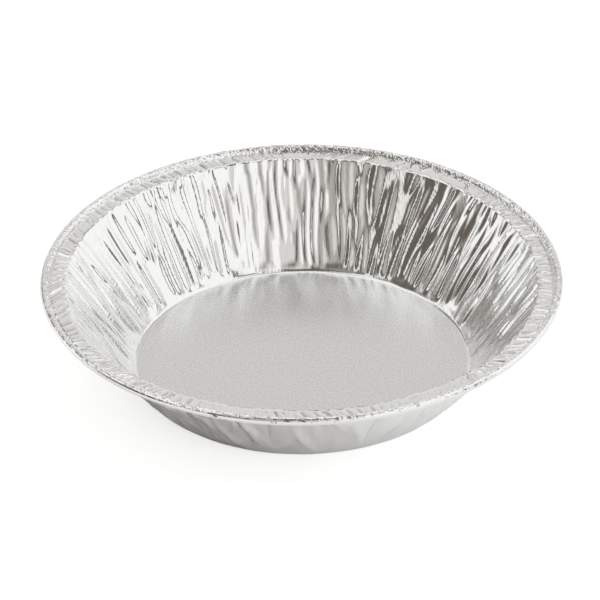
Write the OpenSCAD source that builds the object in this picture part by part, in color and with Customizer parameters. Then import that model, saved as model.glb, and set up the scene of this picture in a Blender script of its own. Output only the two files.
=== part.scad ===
// Round foil pie tin, pressed from one disc of aluminium foil.
// A flat floor, a sloping wall that gathers into pleats, a flat ledge and a rolled edge
// are all one sheet. The origin is the centre of the floor's underside, with +Z up.

/* [Overall size] */
// Width of the mouth, across the fold between the wall and the ledge
mouth_d = 115; // [100:1:140]
// Width of the floor, across the corner where the wall starts
floor_d = 82.6; // [60:0.2:92]
// Height of the ledge's top above the table
depth = 23.8; // [14:0.2:34]
// Width of the ledge, from the fold to the rolled edge
ledge_w = 3.8; // [2.6:0.1:6]
// Thickness of the foil
foil_t = 0.09; // [0.06:0.01:0.15]

/* [Pressed form] */
// Bend radius between the floor and the wall
corner_r = 1.3; // [0.6:0.1:3]
// Outside diameter of the rolled edge's section
roll_d = 2.2; // [1.8:0.1:3.2]
// Height of the roll's centre above the ledge
roll_lift = 0.2; // [0:0.05:0.6]
// Angle that the edge is rolled through, over the top and back underneath
roll_turn = 360; // [300:5:380]
// Clear gap between the roll's first turn and its tucked end
tuck_gap = 0.15; // [0.1:0.01:0.3]

/* [Wrinkles] */
// Number of pleats around the wall
pleats = 96; // [60:4:96]
// Depth of the strongest pleat on the wall, from ridge to valley
pleat_depth = 1.1; // [0.2:0.1:1.4]
// Depth of the strongest pleat on the ledge
ledge_pleat_depth = 0.3; // [0:0.05:0.5]
// Depth of the broad ripples that the pleats ride on
ripple_depth = 0.6; // [0:0.1:1.2]
// Depth of the small dents between one crease and the next
dent_depth = 0.4; // [0:0.05:0.5]
// How far the pleats lean to one side or the other on their way up
pleat_lean = 1.6; // [0:0.1:2.4]
// Depth of the crimps along the rolled edge
crimp_depth = 0.12; // [0:0.02:0.2]
// Number that picks the random pattern of the wrinkles
pattern = 7; // [1:1:99]

/* [Hidden] */

// Each pleat has one ridge and one valley, and so two columns of points on the wall
columns = 2 * pleats;
roll_columns = pleats;
corner_rows = 2;
wall_rows = 6;
fold_ring = corner_rows + wall_rows;
ledge_ring = fold_ring + 1;
// The roll is drawn from the ledge to its widest point, and from there to its free end
over_rows = 4;
under_rows = 4;
roll_rows = over_rows + under_rows;

// The profile is that of the foil's middle
mouth_r = mouth_d / 2;
floor_z = foil_t / 2;
ledge_z = depth - foil_t / 2;
slope = atan2(ledge_z - floor_z, (mouth_d - floor_d) / 2);
floor_end = floor_d / 2 - corner_r * tan(slope / 2);
corner_centre = [floor_end, floor_z + corner_r];
roll_r = (roll_d - foil_t) / 2;
roll_centre = [mouth_r + ledge_w + roll_d / 2, ledge_z + roll_lift];
roll_start = 180 + asin(roll_lift / roll_r);
roll_in = foil_t + tuck_gap;
wall_normal = 90 + slope;
ledge_normal = 90;

pleat_strength = rands(0.25, 1, pleats, pattern);
pleat_foot = rands(-0.1, 0.55, pleats, pattern + 100);
// Each point of the wall has its own dent, its own sway as a share of a column, and its
// own slip up or down as a share of a row
wall_points = columns * (wall_rows + 1);
sways = rands(-0.38, 0.38, wall_points, pattern + 200);
dents = rands(-0.5, 0.5, wall_points, pattern + 300);
slips = rands(-0.35, 0.35, wall_points, pattern + 500);
crimps = rands(0.2, 1, roll_columns, pattern + 400);

function toward(angle) = [cos(angle), sin(angle)];
function mix(a, b, share) = a + (b - a) * share;
// Runs smoothly from 0 to 1 as x does, and stays level past either end
function ease(x) = let (t = min(max(x, 0), 1)) t * t * (3 - 2 * t);

// One point of the flat profile is [place, direction of the foil's upper side, mitre]
function corner_form(share) =
    let (angle = slope * share)
    [corner_centre + corner_r * toward(angle - 90), 90 + angle, 1];

function wall_form(share) =
    let (foot = corner_form(1)[0], fold = [mouth_r, ledge_z])
    share < 1
        ? [mix(foot, fold, share), wall_normal, 1]
        : [fold, (wall_normal + ledge_normal) / 2, 1 / cos(slope / 2)];

function ledge_form(share) =
    [[mouth_r + ledge_w * share, ledge_z], ledge_normal, 1];

function roll_angle(row) =
    row <= over_rows
        ? mix(roll_start, 0, row / over_rows)
        : mix(0, roll_start - roll_turn, (row - over_rows) / under_rows);

// The roll keeps its full radius over the top and winds inwards underneath
function roll_form(row, crimp) =
    let (
        angle = roll_angle(row),
        wound = ease((row - over_rows) / under_rows),
        radius = roll_r - roll_in * wound - crimp,
        bend = (roll_start - ledge_normal) / 2
    )
    row == 0
        ? [roll_centre + roll_r * toward(angle), ledge_normal + bend, 1 / cos(bend)]
        : [roll_centre + radius * toward(angle), angle, 1];

// Rise of one pleat at a share of the wall's height, from its foot to the fold
function pleat_rise(pleat, share) =
    let (i = (pleat + pleats) % pleats)
    pleat_strength[i] * ease((share - pleat_foot[i]) / 0.45);

// Pleats rise on even columns and sink between them on odd ones
function pleated(column, share) =
    let (p = floor(column / 2))
    column % 2 == 0
        ? pleat_rise(p, share) / 2
        : -(pleat_rise(p, share) + pleat_rise(p + 1, share)) / 4;

function rippled(angle, share) =
    ease(share / 0.5) * (1 - 0.7 * ease((share - 0.6) / 0.4))
    * (sin(9 * angle + 30) + sin(14 * angle + 80) + sin(23 * angle)) / 6;

function dented(column, row) =
    dents[row * columns + column] * sin(180 * row / wall_rows);

// Share of the wall's height at which a point lies: those on the fold stay in line
function wall_share(column, row) =
    (row + (row < wall_rows ? slips[row * columns + column] : 0)) / wall_rows;

// How far the foil stands off the plain cone, inwards where it is positive
function wall_height(column, angle, row) =
    let (share = wall_share(column, row), at_fold = row == wall_rows ? 0.5 : 1)
    at_fold * pleat_depth * pleated(column, share)
    + ripple_depth * rippled(angle, share)
    + dent_depth * dented(column, row);

// Angle of a column around the tin, with its lean and sway on the wall
function column_angle(column, row) =
    let (
        share = row / wall_rows,
        pitch = 360 / columns,
        even = column * pitch,
        lean = pleat_lean / mouth_r * 180 / PI,
        waves = 0.6 * sin(5 * even + 40) + 0.4 * sin(8 * even + 200)
    )
    even + share * lean * waves + ease(share / 0.3) * pitch * sways[row * columns + column];

function around(angle, flat) =
    [flat[0] * cos(angle), flat[0] * sin(angle), flat[1]];

// A point on one side of the foil: side is 1 on the upper side and -1 underneath
function skin_point(form, angle, lift, side) =
    around(angle, form[0] + lift + toward(form[1]) * form[2] * side * foil_t / 2);

function corner_point(column, ring, side) =
    skin_point(corner_form(ring / corner_rows), column_angle(column, 0), [0, 0], side);

function wall_point(column, ring, side) =
    let (
        row = ring - corner_rows,
        angle = column_angle(column, row),
        height = wall_height(column, angle, row),
        kink = row == wall_rows ? ledge_pleat_depth * pleated(column, 1) : 0
    )
    skin_point(
        wall_form(wall_share(column, row)), angle,
        toward(wall_normal) * height + [0, kink], side
    );

function ledge_point(column, side) =
    skin_point(
        ledge_form(0.5),
        (column_angle(column, wall_rows) + column * 360 / columns) / 2,
        [0, ledge_pleat_depth * pleated(column, 1)], side
    );

function sheet_point(column, ring, side) =
    ring <= corner_rows ? corner_point(column, ring, side)
    : ring <= fold_ring ? wall_point(column, ring, side)
    : ledge_point(column, side);

// Every second column of the roll is crimped, and those between keep its full width
function roll_point(column, row, side) =
    let (crimp = column % 2 == 0 ? 0 : crimp_depth * crimps[column])
    skin_point(
        roll_form(row, crimp), column * 360 / roll_columns, [0, 0], side
    );

function skin_points(side) = [
    for (ring = [0:ledge_ring], column = [0:columns - 1])
        sheet_point(column, ring, side),
    for (row = [0:roll_rows], column = [0:roll_columns - 1])
        roll_point(column, row, side)
];

sheet_count = (ledge_ring + 1) * columns;
skin_count = sheet_count + (roll_rows + 1) * roll_columns;

// Places of the points in the list: skin is 0 for the upper side and 1 for the lower one
function sheet_at(column, ring, skin) =
    skin * skin_count + ring * columns + column % columns;
function roll_at(column, row, skin) =
    skin * skin_count + sheet_count + row * roll_columns + column % roll_columns;

function facing(triangle, skin) =
    skin == 1 ? triangle : [triangle[2], triangle[1], triangle[0]];

function quad(a, b, c, d) = [[a, b, c], [a, c, d]];

function sheet_faces(skin) = [
    for (ring = [0:ledge_ring - 1], c = [0:columns - 1])
        for (face = quad(
            sheet_at(c, ring, skin), sheet_at(c, ring + 1, skin),
            sheet_at(c + 1, ring + 1, skin), sheet_at(c + 1, ring, skin)
        )) facing(face, skin)
];

// Two columns of the ledge meet one column of the roll
function joining_faces(skin) = [
    for (c = [0:roll_columns - 1])
        let (
            a = sheet_at(2 * c, ledge_ring, skin),
            b = sheet_at(2 * c + 1, ledge_ring, skin),
            d = sheet_at(2 * c + 2, ledge_ring, skin),
            near = roll_at(c, 0, skin),
            far = roll_at(c + 1, 0, skin)
        )
        for (face = [[a, near, b], [b, near, far], [b, far, d]]) facing(face, skin)
];

function roll_faces(skin) = [
    for (row = [0:roll_rows - 1], c = [0:roll_columns - 1])
        for (face = quad(
            roll_at(c, row, skin), roll_at(c, row + 1, skin),
            roll_at(c + 1, row + 1, skin), roll_at(c + 1, row, skin)
        )) facing(face, skin)
];

// The cut edges of the sheet: where it meets the floor, and its free end in the roll
function edge_faces() = [
    for (c = [0:columns - 1])
        for (face = quad(
            sheet_at(c, 0, 1), sheet_at(c + 1, 0, 1),
            sheet_at(c + 1, 0, 0), sheet_at(c, 0, 0)
        )) face,
    for (c = [0:roll_columns - 1])
        for (face = quad(
            roll_at(c, roll_rows, 0), roll_at(c + 1, roll_rows, 0),
            roll_at(c + 1, roll_rows, 1), roll_at(c, roll_rows, 1)
        )) face
];

// Wall, ledge and rolled edge: everything that the press raises around the floor
module raised_sheet() {
    polyhedron(
        points = concat(skin_points(1), skin_points(-1)),
        faces = concat(
            [for (skin = [0, 1]) each sheet_faces(skin)],
            [for (skin = [0, 1]) each joining_faces(skin)],
            [for (skin = [0, 1]) each roll_faces(skin)],
            edge_faces()
        ),
        convexity = 10
    );
}

// Flat floor, out to where the corner starts to bend, on the same points as the sheet
module flat_floor() {
    around_floor = [0:columns - 1];
    polyhedron(
        points = [
            for (side = [1, -1], c = around_floor) corner_point(c, 0, side)
        ],
        faces = concat(
            [[for (c = around_floor) columns - 1 - c], [for (c = around_floor) columns + c]],
            [
                for (c = around_floor)
                    [c, (c + 1) % columns, columns + (c + 1) % columns, columns + c]
            ]
        )
    );
}

module foil_tin() {
    color("silver")
        union() {
            raised_sheet();
            flat_floor();
        }
}

foil_tin();
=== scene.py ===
import math

import bpy
import numpy as np
from mathutils import Matrix, Vector


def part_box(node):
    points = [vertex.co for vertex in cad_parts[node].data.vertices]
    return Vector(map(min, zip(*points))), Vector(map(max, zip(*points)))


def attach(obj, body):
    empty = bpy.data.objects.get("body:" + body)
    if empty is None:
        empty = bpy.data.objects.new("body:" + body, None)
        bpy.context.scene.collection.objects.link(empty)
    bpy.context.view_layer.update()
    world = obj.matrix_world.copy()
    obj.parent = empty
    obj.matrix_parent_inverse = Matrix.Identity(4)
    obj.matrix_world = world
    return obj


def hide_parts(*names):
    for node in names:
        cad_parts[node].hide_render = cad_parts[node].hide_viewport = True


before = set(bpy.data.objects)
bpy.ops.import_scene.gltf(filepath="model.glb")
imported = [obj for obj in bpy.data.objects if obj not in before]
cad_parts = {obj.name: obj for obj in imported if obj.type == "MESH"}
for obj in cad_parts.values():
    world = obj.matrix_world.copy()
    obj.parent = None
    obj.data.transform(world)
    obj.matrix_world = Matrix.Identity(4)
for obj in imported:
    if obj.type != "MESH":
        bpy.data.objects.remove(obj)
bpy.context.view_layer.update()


# The pressed sheet's profile
# The real tin is one disc of aluminium foil, about a tenth of a millimetre thick. A press
# draws it over a round block into a flat floor, a sloping wall and a narrow ledge, and
# rolls the cut edge over the top and back underneath, so that it doesn't cut fingers.
MM = 0.001
tin_low, tin_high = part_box("foil_tin")
RIM_R = (tin_high.x - tin_low.x) / 2
RIM_TOP = tin_high.z
FOIL_T = 0.09 * MM
ROLL_R = 1.1 * MM - FOIL_T / 2
ROLL_LIFT = 0.2 * MM
ROLL_TUCK = 0.24 * MM
LEDGE_W = 3.8 * MM
FLOOR_R = 41.3 * MM
CORNER_R = 1.3 * MM

ROLL_AT = np.array([RIM_R - ROLL_R - FOIL_T / 2, RIM_TOP - ROLL_R - FOIL_T / 2])
LEDGE_Z = ROLL_AT[1] - ROLL_LIFT
MOUTH_R = ROLL_AT[0] - ROLL_R - FOIL_T / 2 - LEDGE_W
SLOPE = math.atan2(LEDGE_Z - FOIL_T / 2, MOUTH_R - FLOOR_R)
FLOOR_END = FLOOR_R - CORNER_R * math.tan(SLOPE / 2)

COLUMNS = 1200
CORNER_ROWS = 4
WALL_ROWS = 29
FOLD_ROW = 0.012
LEDGE_ROWS = (0.21, 0.45, 0.68, 0.86, 0.94)
OVER_ROWS = 9
UNDER_ROWS = 3
CORNER, WALL, LEDGE, ROLL = range(4)


def arc(centre, radii, angles):
    """Points along an arc of the profile, and their directions away from its centre."""
    ways = np.stack([np.cos(angles), np.sin(angles)], axis=1)
    return centre + ways * np.reshape(radii, (-1, 1)), ways


def mitred(before, after):
    """Offset direction at a fold between two straight stretches of the profile."""
    both = before + after
    return both / (both @ before)


def sheet_profile():
    """Rows from the floor's edge to the free end: place, way to the upper side, region."""
    up = np.array([0.0, 1.0])
    wall_up = np.array([-math.sin(SLOPE), math.cos(SLOPE)])
    turns = np.linspace(0, SLOPE, CORNER_ROWS + 1) - math.pi / 2
    centre = np.array([FLOOR_END, FOIL_T / 2 + CORNER_R])
    corner, outward = arc(centre, CORNER_R, turns)
    fold = np.array([MOUTH_R, LEDGE_Z])
    climb = np.append(np.linspace(0, 1 - FOLD_ROW, WALL_ROWS)[1:], 1)[:, None]
    wall = corner[-1] + (fold - corner[-1]) * climb
    wall_ups = np.repeat(wall_up[None], WALL_ROWS, axis=0)
    wall_ups[-1] = mitred(wall_up, up)
    start = math.pi + math.asin(ROLL_LIFT / ROLL_R)
    turned = np.concatenate([
        np.linspace(start, 0, OVER_ROWS + 1),
        np.linspace(0, start - 2 * math.pi, UNDER_ROWS + 1)[1:],
    ])
    wound = np.clip(np.arange(len(turned)) - OVER_ROWS, 0, None) / UNDER_ROWS
    roll, roll_ups = arc(ROLL_AT, ROLL_R - ROLL_TUCK * wound, turned)
    out = np.array(LEDGE_ROWS)[:, None]
    ledge = fold + (roll[0] - fold) * out
    roll_ups[0] = mitred(up, roll_ups[0])
    return (
        np.concatenate([corner, wall, ledge, roll]),
        np.concatenate([-outward, wall_ups, np.repeat(up[None], len(ledge), 0), roll_ups]),
        np.repeat([CORNER, WALL, LEDGE, ROLL], [len(corner), len(wall), len(ledge), len(roll)]),
    )


profile, profile_up, region = sheet_profile()
run = np.concatenate([[0], np.cumsum(np.linalg.norm(np.diff(profile, axis=0), axis=1))])
flat_r = FLOOR_END + run
column = np.arange(COLUMNS) * 2 * math.pi / COLUMNS


# Wrinkles of the wall
# Drawing a flat disc into a bowl leaves too much foil round the mouth. It gathers into
# folds and sharp creases that run up the slope, fork and die out, with short tongues
# under the ledge and smooth facets between them. They end where the floor begins.
dice = np.random.default_rng(20)
foot_run = run[region == CORNER][-1]
fold_run = run[region == WALL][-1]
WALL_LENGTH = fold_run - foot_run
climb = (run - foot_run)[:, None]
radius = profile[:, 0][:, None]
FINE = 3
BLUR = 7
fine_column = np.arange(FINE * COLUMNS) * 2 * math.pi / (FINE * COLUMNS)
LEAN_SPREAD = math.radians(1.6)
VALLEY = 0.2 * MM
SWELL = 0.16 * MM
BROAD_SIDE = math.radians(72)


def ease(x):
    """Runs smoothly from 0 to 1 as x does, and stays level past either end."""
    t = np.clip(x, 0, 1)
    return t * t * (3 - 2 * t)


def wrapped(angle):
    """The same angle, between minus and plus half a turn."""
    return (angle + math.pi) % (2 * math.pi) - math.pi


def fold_relief(path, low, high, width, depth, crease):
    """Height of one fold: it narrows to both ends, and crease sharpens its crest."""
    share = (climb - low) / (high - low)
    taper = ease(share / 0.3) * ease((1 - share) / 0.3)
    across = np.abs(wrapped(fine_column - path)) * radius / (width * (0.4 + 0.6 * taper))
    rounded = np.exp(-across ** 2)
    creased = np.exp(-1.4 * across)
    return depth * taper * (rounded + crease * (creased - rounded))


def scattered_folds(count, length, width, depth, raised, crease, middle, fork):
    """Folds spread round the wall. Each range is (least, most), raised is the share that
    stands inwards, and fork is the share that branch on their way up."""
    relief = np.zeros((len(profile), len(fine_column)))
    for i in range(count):
        angle = (i + dice.uniform(-0.9, 0.9)) * 2 * math.pi / count
        reach = dice.uniform(*length)
        centre = dice.uniform(*middle) * WALL_LENGTH
        low, high = centre - reach / 2, centre + reach / 2
        lean = math.tan(dice.normal(0, LEAN_SPREAD))
        sway = dice.uniform(0.01, 0.025) * reach
        wave = np.sin((climb - low) * 2 * math.pi / (dice.uniform(0.7, 1.6) * reach))
        path = angle + (lean * (climb - centre) + sway * wave) / radius
        wide, sharp = dice.uniform(*width), dice.uniform(*crease)
        tall = dice.uniform(*depth) * (1 if dice.random() < raised else -1)
        relief += fold_relief(path, low, high, wide, tall, sharp)
        if dice.random() < fork:
            start = low + dice.uniform(0.3, 0.6) * reach
            turn = math.tan(math.radians(dice.choice([-1, 1]) * dice.uniform(6, 13)))
            branch = path + turn * np.clip(climb - start, 0, None) / radius
            relief += fold_relief(branch, start, high, 0.8 * wide, 0.8 * tall, sharp)
    return relief


def broad_facets(depth):
    """Slow swells of the wall, from a few waves that cross each other."""
    relief = np.zeros((len(profile), len(fine_column)))
    for waves in (7, 11, 16, 23, 31):
        turn = dice.uniform(0, 2 * math.pi)
        twist = dice.uniform(-60, 60)
        relief += np.sin(waves * fine_column + twist * climb + turn) * depth / waves ** 0.5
    return relief


def gathers(count, width, length, middle, steep, crest):
    """Ridges side by side, rounded or flat, that meet in sharp valleys. The ridges of the
    side that BROAD_SIDE names are the widest. Each range is (least, most)."""
    relief = np.full((len(profile), len(fine_column)), -VALLEY)
    for i in range(count):
        angle = (i + dice.uniform(-0.55, 0.55)) * 2 * math.pi / count
        broad = 1 + 0.22 * math.cos(angle - BROAD_SIDE)
        half_length = dice.uniform(*length) / 2
        half_width = dice.uniform(*width) / 2 * broad
        centre = dice.uniform(*middle) * WALL_LENGTH
        lean = math.tan(dice.normal(0, LEAN_SPREAD))
        bow = dice.uniform(-0.03, 0.03) * (climb - centre) ** 2 / half_length
        path = angle + (lean * (climb - centre) + bow) / radius
        across = wrapped(fine_column - path) * radius / half_width
        along = (climb - centre) / half_length
        edge = (across ** 2 + along ** 2) ** dice.uniform(1, 1.6)
        drop = dice.uniform(*steep) * half_width * edge / 2.6
        relief = np.maximum(relief, dice.uniform(*crest) - drop)
    return relief


def mesh_columns(relief):
    """The relief at the mesh's own columns, each a weighted mean of the fine ones nearby."""
    shares = [(k, (BLUR - abs(k)) / BLUR ** 2) for k in range(1 - BLUR, BLUR)]
    return sum(share * np.roll(relief, k, axis=1) for k, share in shares)[:, ::FINE]


# Long gathers, a few narrow ones between them, and short tongues under the ledge
wall_relief = broad_facets(SWELL) + np.maximum.reduce([
    gathers(
        count=190, width=(2 * MM, 3.8 * MM), length=(16 * MM, 36 * MM),
        middle=(0.1, 0.9), steep=(0.85, 1.45), crest=(-0.04 * MM, 0.22 * MM),
    ),
    gathers(
        count=80, width=(1.5 * MM, 2.2 * MM), length=(14 * MM, 32 * MM),
        middle=(0.3, 0.85), steep=(0.95, 1.5), crest=(0.04 * MM, 0.22 * MM),
    ),
    gathers(
        count=130, width=(1.4 * MM, 2.6 * MM), length=(4 * MM, 14 * MM),
        middle=(0.94, 1.15), steep=(0.85, 1.4), crest=(0.05 * MM, 0.24 * MM),
    ),
])
# Longer forking folds and short thin creases lie over them
wall_relief += (
    scattered_folds(
        count=45, length=(9 * MM, 25 * MM), width=(0.6 * MM, 1.4 * MM),
        depth=(0.08 * MM, 0.28 * MM), raised=0.6, crease=(0, 0.7), middle=(0.3, 0.95), fork=0.4,
    )
    + scattered_folds(
        count=25, length=(3 * MM, 12 * MM), width=(0.3 * MM, 0.45 * MM),
        depth=(0.06 * MM, 0.16 * MM), raised=0.4, crease=(0.5, 1), middle=(0.1, 0.95), fork=0.2,
    )
)
wall_relief = mesh_columns(wall_relief)

# They fade into the foot at uneven heights, are held a little flatter at the fold, and
# are deeper on the side that faces +X. The foot itself bulges inwards here and there
FOOT_UNEVEN = 1.2 * MM
FOOT_FADE = 2.2 * MM
FOLD_FADE = 1.2 * MM
BULGE_RISE = 1.4 * MM
BULGE_FADE = 2.4 * MM
at_fold = np.abs(climb - WALL_LENGTH) < 1e-9
foot = 0.5 + 0.5 * np.sin(19 * column + 2 * np.sin(7 * column)) * np.sin(11 * column + 1)
wall_relief *= ease((climb + 0.5 * MM - FOOT_UNEVEN * foot) / FOOT_FADE)
wall_relief *= 1 - 0.3 * ease(1 - (WALL_LENGTH - climb) / FOLD_FADE)
wall_relief *= 1 + 0.35 * np.clip(np.cos(column), 0, 1) ** 2
bulge = ease((climb + CORNER_R) / BULGE_RISE) * np.exp(-np.clip(climb, 0, None) / BULGE_FADE)
wall_relief += (0.04 + 0.16 * foot) * MM * bulge
wall_relief *= np.isin(region, (CORNER, WALL))[:, None]


# Pleats of the ledge and crimps of the rolled edge
# The same gathers cross the flat ledge as fine slanting pleats. Where the edge is rolled,
# the foil is nipped into small uneven crimps all the way round.
PLEATS = 96
GROOVE = 0.3 * MM
GROOVE_W = 0.28 * MM
CREST_REACH = 5
ledge_share = np.clip((run[:, None] - fold_run) / LEDGE_W, 0, 1)
roll_run = np.clip(run[:, None] - run[region == ROLL][0], 0, None)


def radial_pleats(count, width, depth, skew, over):
    """Small pleats of uneven depth, each with its own slant along the stretch over."""
    relief = np.zeros((len(profile), COLUMNS))
    for i in range(count):
        angle = (i + dice.uniform(-0.45, 0.45)) * 2 * math.pi / count
        lean = math.tan(dice.normal(0, skew)) * over / radius
        across = wrapped(column - angle - lean) * radius / dice.uniform(*width)
        relief += dice.uniform(-1, 1) * depth * np.exp(-across ** 2)
    return relief


def corrugation(count, steep, crest, skew, over):
    """Rounded pleats side by side all the way round, with sharp valleys between them."""
    relief = np.full((len(profile), COLUMNS), -1.0)
    pitch = 2 * math.pi * MOUTH_R / count
    slant = 0.2 * np.sin(4 * column + 1.1) + 0.15 * np.sin(9 * column)
    for i in range(count):
        angle = (i + dice.uniform(-0.45, 0.45)) * 2 * math.pi / count
        lean = (math.tan(dice.normal(0, skew)) + slant) * over / radius
        across = wrapped(column - angle - lean) * radius / pitch
        top, drop = dice.uniform(*crest), dice.uniform(*steep) * pitch * across ** 2
        relief = np.maximum(relief, top - drop)
    return relief


def nips(spacing, depth):
    """Small uneven dents along each row of the roll, straight from one to the next."""
    relief = np.zeros((len(profile), COLUMNS))
    for row in relief:
        marks = np.cumsum(dice.uniform(*spacing, int(2 * math.pi * RIM_R / spacing[0]))) / RIM_R
        marks = marks[marks < 2 * math.pi]
        row[:] = np.interp(column, marks, dice.uniform(-depth, 0, len(marks)), period=2 * math.pi)
    return relief


on_ledge = (region == LEDGE)[:, None] + 0.8 * at_fold
along_ledge = ledge_share * LEDGE_W
carried = wall_relief[region == WALL][-1] * math.cos(SLOPE)
ledge_relief = on_ledge * (
    corrugation(
        count=220, steep=(0.12, 0.36), crest=(-0.02 * MM, 0.05 * MM), skew=0.1, over=along_ledge,
    )
    + radial_pleats(
        PLEATS, width=(0.35 * MM, 0.6 * MM), depth=0.05 * MM, skew=0.3, over=along_ledge,
    )
    + dice.uniform(-0.025, 0, COLUMNS) * MM
)
ledge_relief += (region == LEDGE)[:, None] * carried * ease(1 - along_ledge / (1.5 * MM))

# The crest of each gather ends at the fold in a small bead, and a groove runs along the roll
around = np.arange(-CREST_REACH, CREST_REACH + 1)
crests = [k for k in range(COLUMNS) if carried[k] == carried[(k + around) % COLUMNS].max()]
beads = np.zeros(COLUMNS)
for k in crests:
    across = wrapped(column - column[k]) * MOUTH_R / (dice.uniform(0.25, 0.4) * MM)
    beads = np.maximum(beads, dice.uniform(0.03, 0.16) * MM * np.exp(-across ** 2))
ledge_relief += at_fold * beads
to_roll = run[:, None] - run[region == ROLL][0]
ledge_relief -= GROOVE * np.exp(-(to_roll / GROOVE_W) ** 2)

# The roll is crimped most on its inner side and its top
inner_side = ease((2.7 * MM - roll_run) / (1.5 * MM))
outer_side = 0.5 + 0.5 * ease((3.5 * MM - roll_run) / (1 * MM))
crimps = (
    inner_side * radial_pleats(
        count=200, width=(0.3 * MM, 0.6 * MM), depth=0.07 * MM, skew=0.6, over=roll_run,
    )
    + inner_side * nips(spacing=(0.5 * MM, 1.4 * MM), depth=0.08 * MM)
    + outer_side * nips(spacing=(0.5 * MM, 1.4 * MM), depth=0.1 * MM)
    + dice.uniform(-0.11, 0, (len(profile), COLUMNS)) * (0.25 + 0.75 * inner_side) * MM
)
on_roll = (region == ROLL)[:, None] * ease(roll_run / (0.5 * MM))
roll_relief = on_roll * np.minimum(crimps, 0)


# The tin as one closed sheet
# Both skins of the foil follow the same folds. The lower one is softer, as foil's outside
# looks, with slanting folds of its own and half the points, so the sheet is drawn thicker
# than real foil on the wall. Rings of ever fewer points close the flat floor.
FLOOR_RINGS = ((0.98, 2), (0.94, 4), (0.85, 8), (0.7, 8), (0.5, 24), (0.3, 48), (0.12, 240))
UNDER_STEP = 2
SATIN, BRIGHT, MATT = range(3)

# The gathers lean to one side and then the other round the tin, and the points with them
LEAN = 3 * MM
S_BEND = 0.6 * MM
waves = 0.6 * np.sin(5 * column + 0.7) + 0.4 * np.sin(8 * column + 3.5)
bends = 0.6 * np.sin(13 * column + 1) + 0.4 * np.sin(21 * column + 2)
height = np.clip(climb / WALL_LENGTH, 0, 1)
shift = LEAN * waves * height + S_BEND * bends * np.sin(2 * math.pi * height)
sheared = column + shift / MOUTH_R * (1 - ledge_share)


# From outside the wall shows broad soft folds that run aslant, and a few sharp creases
SLANTS = 230
slanting = np.zeros((len(profile), COLUMNS))
for k in range(SLANTS):
    at = (k + dice.uniform(-0.8, 0.8)) * 2 * math.pi / SLANTS
    slant = math.tan(math.radians(dice.choice([-1, 1, 1]) * dice.uniform(0, 22)))
    middle = dice.uniform(0.2, 0.95) * WALL_LENGTH
    path = at + slant * (climb - middle) / radius
    sharp = dice.random() < 0.4
    width = (dice.uniform(0.4, 0.55) if sharp else dice.uniform(0.6, 1.3)) * MM
    reach = dice.uniform(5, 12) * MM
    across = np.abs(wrapped(column - path) * radius / width)
    slanting -= dice.uniform(0.3, 0.95) * width * (1.4 if sharp else 1) * np.exp(
        -across ** (1 if sharp else 2) - ((climb - middle) / reach) ** 2
    )
slanting *= ease(climb / (5 * MM)) * (region == WALL)[:, None] * (at_fold == 0)


def skin(side, step):
    """Points of one skin of the sheet, row by row, then those of the floor."""
    def eased(relief):
        if side > 0:
            return relief[:, :, None]
        low = np.minimum(relief, np.minimum(np.roll(relief, 1, 1), np.roll(relief, -1, 1)))
        return low[:, ::step, None]

    up_wall = np.array([-math.sin(SLOPE), math.cos(SLOPE)])
    place = (
        profile[:, None, :]
        + up_wall * eased(wall_relief + (slanting if side < 0 else 0))
        + np.array([0.0, 1.0]) * eased(ledge_relief)
        + profile_up[:, None, :] * (eased(roll_relief) + side * FOIL_T / 2)
    )
    angle = sheared[:, ::step]
    rows = np.stack([
        place[:, :, 0] * np.cos(angle), place[:, :, 0] * np.sin(angle), place[:, :, 1]
    ], axis=2).reshape(-1, 3)
    rings = [rows]
    for share, spacing in FLOOR_RINGS:
        angle = column[::spacing]
        rings.append(np.stack([
            share * FLOOR_END * np.cos(angle), share * FLOOR_END * np.sin(angle),
            np.full(len(angle), FOIL_T / 2 * (1 + side)),
        ], axis=1))
    rings.append(np.array([[0, 0, FOIL_T / 2 * (1 + side)]]))
    return np.concatenate(rings)


def strip(inner, outer):
    """Faces between two rings of points, where the inner one may have fewer of them."""
    n, m = len(outer), len(inner)
    step = n // m
    faces = []
    for i in range(m):
        for k in range(i * step, (i + 1) * step):
            faces.append((inner[i], outer[k], outer[(k + 1) % n]))
        faces.append((inner[i], outer[(i + 1) * step % n], inner[(i + 1) % m]))
    return faces


def skin_faces(start, step):
    """Faces of one skin, seen from its upper side: rows of quads, then the floor."""
    rows, count = len(profile), COLUMNS // step
    grid = start + np.arange(rows * count).reshape(rows, count)
    after = np.roll(grid, -1, axis=1)
    quads = np.stack([grid[:-1], grid[1:], after[1:], after[:-1]], axis=2).reshape(-1, 4)
    floor = []
    outer = list(grid[0])
    used = start + rows * count
    for _, spacing in FLOOR_RINGS:
        inner = list(range(used, used + COLUMNS // spacing))
        floor += strip(inner, outer)
        used += len(inner)
        outer = inner
    floor += [(used, outer[k], outer[(k + 1) % len(outer)]) for k in range(len(outer))]
    return quads, floor, list(grid[-1])


def split_quads(quads, relief):
    """Two triangles a quad, cut from corner to corner where the relief changes least."""
    a, b, c, d = quads.T
    height = relief.ravel()
    first, second = np.abs(height[a] - height[c]), np.abs(height[b] - height[d])
    one = np.where(first <= second, (a, b, c), (a, b, d))
    two = np.where(first <= second, (a, c, d), (b, c, d))
    return np.stack([one.T, two.T], axis=1).reshape(-1, 3)


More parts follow.
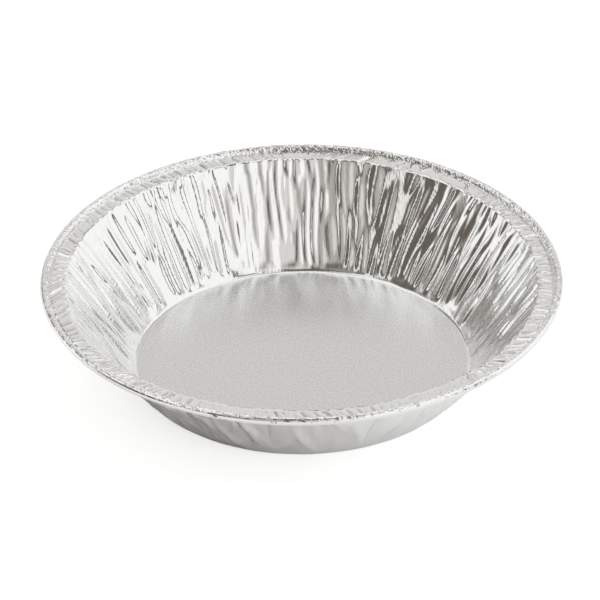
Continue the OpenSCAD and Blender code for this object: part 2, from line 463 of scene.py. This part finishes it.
def foil_mesh(name):
    """Both skins, closed at the sheet's free end, with a finish for each stretch."""
    upper, lower = skin(1, 1), skin(-1, UNDER_STEP)
    top_quads, top_floor, top_end = skin_faces(0, 1)
    low_quads, low_floor, low_end = skin_faces(len(upper), UNDER_STEP)
    top_faces = split_quads(top_quads, wall_relief)
    low_quads = low_quads.tolist()
    parts = (
        (SATIN, top_floor),
        (BRIGHT, top_faces.tolist()),
        (BRIGHT, [f[::-1] for f in strip(low_end, top_end)]),
        (MATT, [f[::-1] for f in low_quads + low_floor]),
    )
    faces = [[int(i) for i in f] for _, part in parts for f in part]
    slots = np.repeat([slot for slot, _ in parts], [len(part) for _, part in parts])
    mesh = bpy.data.meshes.new(name)
    points = np.concatenate([upper, lower])
    mesh.from_pydata(points.tolist(), [], faces)
    mesh.polygons.foreach_set("material_index", slots.astype(np.int32))
    # The crumpled ledge and roll keep flat facets, and the rest is smooth
    crumpled = np.isin(region, (LEDGE, ROLL))[:-1].repeat(2 * COLUMNS)
    smooth = np.ones(len(faces), bool)
    smooth[len(top_floor):len(top_floor) + len(top_faces)] = ~crumpled
    mesh.polygons.foreach_set("use_smooth", smooth)
    # The foil's own flat coordinates: where each point lay on the disc before pressing
    angle = np.arctan2(points[:, 1], points[:, 0])
    reach = np.hypot(points[:, 0], points[:, 1])
    for first, step in ((0, 1), (len(upper), UNDER_STEP)):
        drawn = np.repeat(flat_r, COLUMNS // step)
        reach[first:first + len(drawn)] = drawn
    flat = np.stack([reach * np.cos(angle), reach * np.sin(angle)], axis=1)
    corner = np.zeros(len(mesh.loops), np.int32)
    mesh.loops.foreach_get("vertex_index", corner)
    mesh.uv_layers.new(name="flat_sheet").data.foreach_set("uv", flat[corner].ravel())
    mesh.update()
    return mesh


tin = bpy.data.objects.new("foil_tin_sheet", foil_mesh("foil_tin_sheet"))
bpy.context.scene.collection.objects.link(tin)


# Foil finishes
# Rolled foil has fine grain along one direction. Pressing leaves the flat floor satin and
# makes the drawn wall, ledge and roll bright, with the grain still showing.
def rolled_grain_group():
    """Grain of rolled foil in the sheet's flat coordinates: a height and a mottle mask."""
    group = bpy.data.node_groups.new("rolled_grain", "ShaderNodeTree")
    for name, kind in (("Fineness", "NodeSocketFloat"), ("Stretch", "NodeSocketFloat")):
        group.interface.new_socket(name, in_out="INPUT", socket_type=kind)
    for name in ("Height", "Mottle"):
        group.interface.new_socket(name, in_out="OUTPUT", socket_type="NodeSocketFloat")
    new, link = group.nodes.new, group.links.new
    inputs, outputs = new("NodeGroupInput"), new("NodeGroupOutput")
    uv = new("ShaderNodeUVMap")
    uv.uv_map = "flat_sheet"
    stretch = new("ShaderNodeCombineXYZ")
    link(inputs.outputs["Fineness"], stretch.inputs["X"])
    along = new("ShaderNodeMath")
    along.operation = "MULTIPLY"
    link(inputs.outputs["Fineness"], along.inputs[0])
    link(inputs.outputs["Stretch"], along.inputs[1])
    link(along.outputs[0], stretch.inputs["Y"])
    scaled = new("ShaderNodeVectorMath")
    scaled.operation = "MULTIPLY"
    link(uv.outputs["UV"], scaled.inputs[0])
    link(stretch.outputs[0], scaled.inputs[1])
    grain = new("ShaderNodeTexNoise")
    grain.noise_dimensions = "2D"
    grain.inputs["Scale"].default_value = 1.0
    grain.inputs["Detail"].default_value = 3.0
    link(scaled.outputs[0], grain.inputs["Vector"])
    mottle = new("ShaderNodeTexNoise")
    mottle.noise_dimensions = "2D"
    mottle.inputs["Scale"].default_value = 900.0
    mottle.inputs["Detail"].default_value = 4.0
    link(uv.outputs["UV"], mottle.inputs["Vector"])
    link(grain.outputs["Fac"], outputs.inputs["Height"])
    link(mottle.outputs["Fac"], outputs.inputs["Mottle"])
    return group


rolled_grain = rolled_grain_group()


def foil_material(name, colour, rough, fineness, stretch, grain_height, contrast):
    """Foil with its grain as bump, and roughness that varies a little with the mottle."""
    material = bpy.data.materials.new(name)
    material.use_nodes = True
    nodes, link = material.node_tree.nodes, material.node_tree.links.new
    shader = nodes["Principled BSDF"]
    shader.inputs["Metallic"].default_value = 1.0
    grain = nodes.new("ShaderNodeGroup")
    grain.node_tree = rolled_grain
    grain.inputs["Fineness"].default_value = fineness
    grain.inputs["Stretch"].default_value = stretch
    spread = nodes.new("ShaderNodeMapRange")
    spread.inputs["From Min"].default_value = 0.3
    spread.inputs["From Max"].default_value = 0.7
    spread.inputs["To Min"].default_value = rough[0]
    spread.inputs["To Max"].default_value = rough[1]
    link(grain.outputs["Mottle"], spread.inputs["Value"])
    link(spread.outputs[0], shader.inputs["Roughness"])
    tone = nodes.new("ShaderNodeMix")
    tone.data_type = "RGBA"
    tone.inputs["A"].default_value = (*[(1 - contrast) * c for c in colour], 1)
    tone.inputs["B"].default_value = (*[min((1 + contrast) * c, 0.99) for c in colour], 1)
    link(grain.outputs["Height"], tone.inputs["Factor"])
    link(tone.outputs["Result"], shader.inputs["Base Color"])
    bump = nodes.new("ShaderNodeBump")
    bump.inputs["Distance"].default_value = grain_height
    link(grain.outputs["Height"], bump.inputs["Height"])
    link(bump.outputs[0], shader.inputs["Normal"])
    return material


for finish in (
    # name, colour, least and most roughness, the grain's fineness per metre, its stretch
    # and its height, and how far the colour varies with it
    ("satin_foil", (0.88, 0.88, 0.87), (0.15, 0.24), 2100, 0.75, 0.03 * MM, 0.2),
    ("bright_foil", (0.92, 0.92, 0.915), (0.07, 0.12), 1400, 0.15, 0.035 * MM, 0.06),
    ("matt_foil", (0.88, 0.88, 0.875), (0.10, 0.16), 1300, 0.15, 0.003 * MM, 0.03),
):
    tin.data.materials.append(foil_material(*finish))
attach(tin, "root")
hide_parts("foil_tin")


# Table
# A plain white table under the tin, wide enough to fill the view from all sides. Its glow is
# painted light: in reflections it fades to a painted shadow round the tin's foot, and the camera
# sees a stronger, even glow that keeps the tin's real shadow pale.
TABLE_SIZE = 6.0
# Where the painted shadow round the tin's foot is centred and how far out it fades, then the
# table's painted glow beyond it in reflections and as the camera sees it
PAINTED_SHADOW_AT = (-0.012, 0, 0)
PAINTED_SHADOW_FROM, PAINTED_SHADOW_TO = 0.038, 0.057
PAINTED_GLOW_BEYOND_SHADOW = 0.35
PAINTED_GLOW_FOR_CAMERA = 0.62
table_mesh = bpy.data.meshes.new("table")
half = TABLE_SIZE / 2
table_mesh.from_pydata(
    [(-half, -half, 0), (half, -half, 0), (half, half, 0), (-half, half, 0)],
    [], [(0, 1, 2, 3)],
)
table = bpy.data.objects.new("table", table_mesh)
bpy.context.scene.collection.objects.link(table)
card = bpy.data.materials.new("white_card")
card.use_nodes = True
card_shader = card.node_tree.nodes["Principled BSDF"]
card_shader.inputs["Base Color"].default_value = (0.8, 0.8, 0.8, 1)
card_shader.inputs["Roughness"].default_value = 0.9
card_shader.inputs["Emission Color"].default_value = (1, 1, 1, 1)
nodes, link = card.node_tree.nodes, card.node_tree.links.new
# Painted shadow: the glow fades to nothing close to the tin's foot, so the foil reflects a dark
# patch there
spot = nodes.new("ShaderNodeTexCoord")
off = nodes.new("ShaderNodeVectorMath")
off.operation = "DISTANCE"
off.inputs[1].default_value = PAINTED_SHADOW_AT
link(spot.outputs["Object"], off.inputs[0])
glow_past_painted_shadow = nodes.new("ShaderNodeMapRange")
glow_past_painted_shadow.inputs["From Min"].default_value = PAINTED_SHADOW_FROM
glow_past_painted_shadow.inputs["From Max"].default_value = PAINTED_SHADOW_TO
glow_past_painted_shadow.inputs["To Min"].default_value = 0.0
glow_past_painted_shadow.inputs["To Max"].default_value = PAINTED_GLOW_BEYOND_SHADOW
link(off.outputs["Value"], glow_past_painted_shadow.inputs["Value"])
# Painted light: camera rays see an even, stronger glow, which paints the tin's shadow out of the
# table as the camera sees it
seen = nodes.new("ShaderNodeLightPath")
camera_or_reflection_glow = nodes.new("ShaderNodeMix")
camera_or_reflection_glow.inputs["B"].default_value = PAINTED_GLOW_FOR_CAMERA
link(seen.outputs["Is Camera Ray"], camera_or_reflection_glow.inputs["Factor"])
link(glow_past_painted_shadow.outputs[0], camera_or_reflection_glow.inputs["A"])
link(camera_or_reflection_glow.outputs[0], card_shader.inputs["Emission Strength"])
table_mesh.materials.append(card)


# Studio light
# A white light tent of a few panels with dim seams between them. It is greyer behind the
# tin and round the camera, and open on the front left, where the room is dark.
TENT = (1.0, 0.998, 0.992)
PANELS = (
    # around from, to, up from, to and soft edge in degrees, and the panel's light. Angles
    # around start from the back for the first group, and from the front for the rest
    ("back", -46, 40, -30, 50, 6, (0.30, 0.28, 0.26)),
    ("back", -29, 31, -40, 43, 11, (0.73, 0.72, 0.705)),
    ("back", -16, 31, -40, 14, 12, (0.88, 0.87, 0.86)),
    ("front", 40, 54, 40, 60, 3, (0.17, 0.15, 0.13)),
    ("front", 70, 80, -20, 34, 3, (0.17, 0.15, 0.13)),
    ("front", -138, -112, 25, 42, 4, (0.24, 0.22, 0.20)),
    ("front", -95, -8, -20, 50, 14, (0.26, 0.24, 0.22)),
    ("front", -86, -18, -10, 40, 12, (0.13, 0.115, 0.10)),
    ("front", -57, -47, -20, 50, 5, (1.0, 0.99, 0.97)),
    ("front", -190, 190, 71, 100, 8, (0.48, 0.47, 0.45)),
    ("front", -110, 60, 80, 100, 4, (0.22, 0.20, 0.18)),
    ("front", -40, 24, 45, 90, 6, (0.13, 0.115, 0.10)),
    ("front", -30, 20, -20, 48, 7, (0.46, 0.44, 0.42)),
    ("front", -4, 20, 28, 46, 6, (0.72, 0.70, 0.68)),
    ("front", -34, 14, -20, 24, 6, (0.16, 0.14, 0.13)),
)


def tent_world():
    """The tent as a sky: each panel is laid over those before it, by direction."""
    world = bpy.data.worlds.new("light_tent")
    world.use_nodes = True
    nodes, link = world.node_tree.nodes, world.node_tree.links.new
    way = nodes.new("ShaderNodeTexCoord")
    parts = nodes.new("ShaderNodeSeparateXYZ")
    link(way.outputs["Generated"], parts.inputs[0])

    def math_node(kind, *values):
        node = nodes.new("ShaderNodeMath")
        node.operation = kind
        for socket, value in zip(node.inputs, values):
            if isinstance(value, (int, float)):
                socket.default_value = value
            else:
                link(value, socket)
        return node.outputs[0]

    def edge(value, start, end):
        node = nodes.new("ShaderNodeMapRange")
        node.interpolation_type = "SMOOTHSTEP"
        node.inputs["From Min"].default_value = math.radians(start)
        node.inputs["From Max"].default_value = math.radians(end)
        link(value, node.inputs["Value"])
        return node.outputs[0]

    x, y, z = parts.outputs
    around = {
        "front": math_node("ARCTAN2", x, math_node("MULTIPLY", y, -1.0)),
        "back": math_node("ARCTAN2", x, y),
    }
    up = math_node("ARCSINE", z)
    sky = nodes.new("ShaderNodeRGB")
    sky.outputs[0].default_value = (*TENT, 1)
    light = sky.outputs[0]
    for side, turn_from, turn_to, up_from, up_to, soft, colour in PANELS:
        turn = around[side]
        share = math_node(
            "MULTIPLY",
            math_node("MULTIPLY", edge(turn, turn_from - soft, turn_from + soft),
                      edge(turn, turn_to + soft, turn_to - soft)),
            math_node("MULTIPLY", edge(up, up_from - soft, up_from + soft),
                      edge(up, up_to + soft, up_to - soft)),
        )
        blend = nodes.new("ShaderNodeMix")
        blend.data_type = "RGBA"
        link(share, blend.inputs["Factor"])
        link(light, blend.inputs["A"])
        blend.inputs["B"].default_value = (*colour, 1)
        light = blend.outputs["Result"]
    link(light, nodes["Background"].inputs["Color"])
    return world


bpy.context.scene.world = tent_world()
bpy.context.scene.view_settings.view_transform = "Standard"


# Camera
# It looks down at the tin from the front, from about a metre away, with a long lens.
CAMERA_AWAY = 1.0
CAMERA_UP = math.radians(32.03)
CAMERA_TILT = math.radians(-0.62)
FOCAL_PX = 4114.5
FRAME_PX = 600
RIM_CENTRE_PX = (301.7, 277.6)


def photo_camera():
    """A camera that puts the centre of the rim at its place in the picture."""
    lens = bpy.data.cameras.new("photo_camera")
    lens.lens = FOCAL_PX / FRAME_PX * lens.sensor_width
    camera = bpy.data.objects.new("photo_camera", lens)
    bpy.context.scene.collection.objects.link(camera)
    back = Vector((0, -math.cos(CAMERA_UP), math.sin(CAMERA_UP)))
    rise = Vector((0, math.sin(CAMERA_UP), math.cos(CAMERA_UP)))
    rim_centre = Vector((0, 0, float(ROLL_AT[1])))
    off = [(px - FRAME_PX / 2) * CAMERA_AWAY / FOCAL_PX for px in RIM_CENTRE_PX]
    aim = rim_centre - Vector((off[0], 0, 0)) + rise * off[1]
    camera.location = rim_centre + back * CAMERA_AWAY
    look = (aim - camera.location).to_track_quat("-Z", "Y")
    camera.rotation_mode = "QUATERNION"
    camera.rotation_quaternion = look @ Matrix.Rotation(CAMERA_TILT, 3, "Z").to_quaternion()
    return camera


bpy.context.scene.camera = photo_camera()
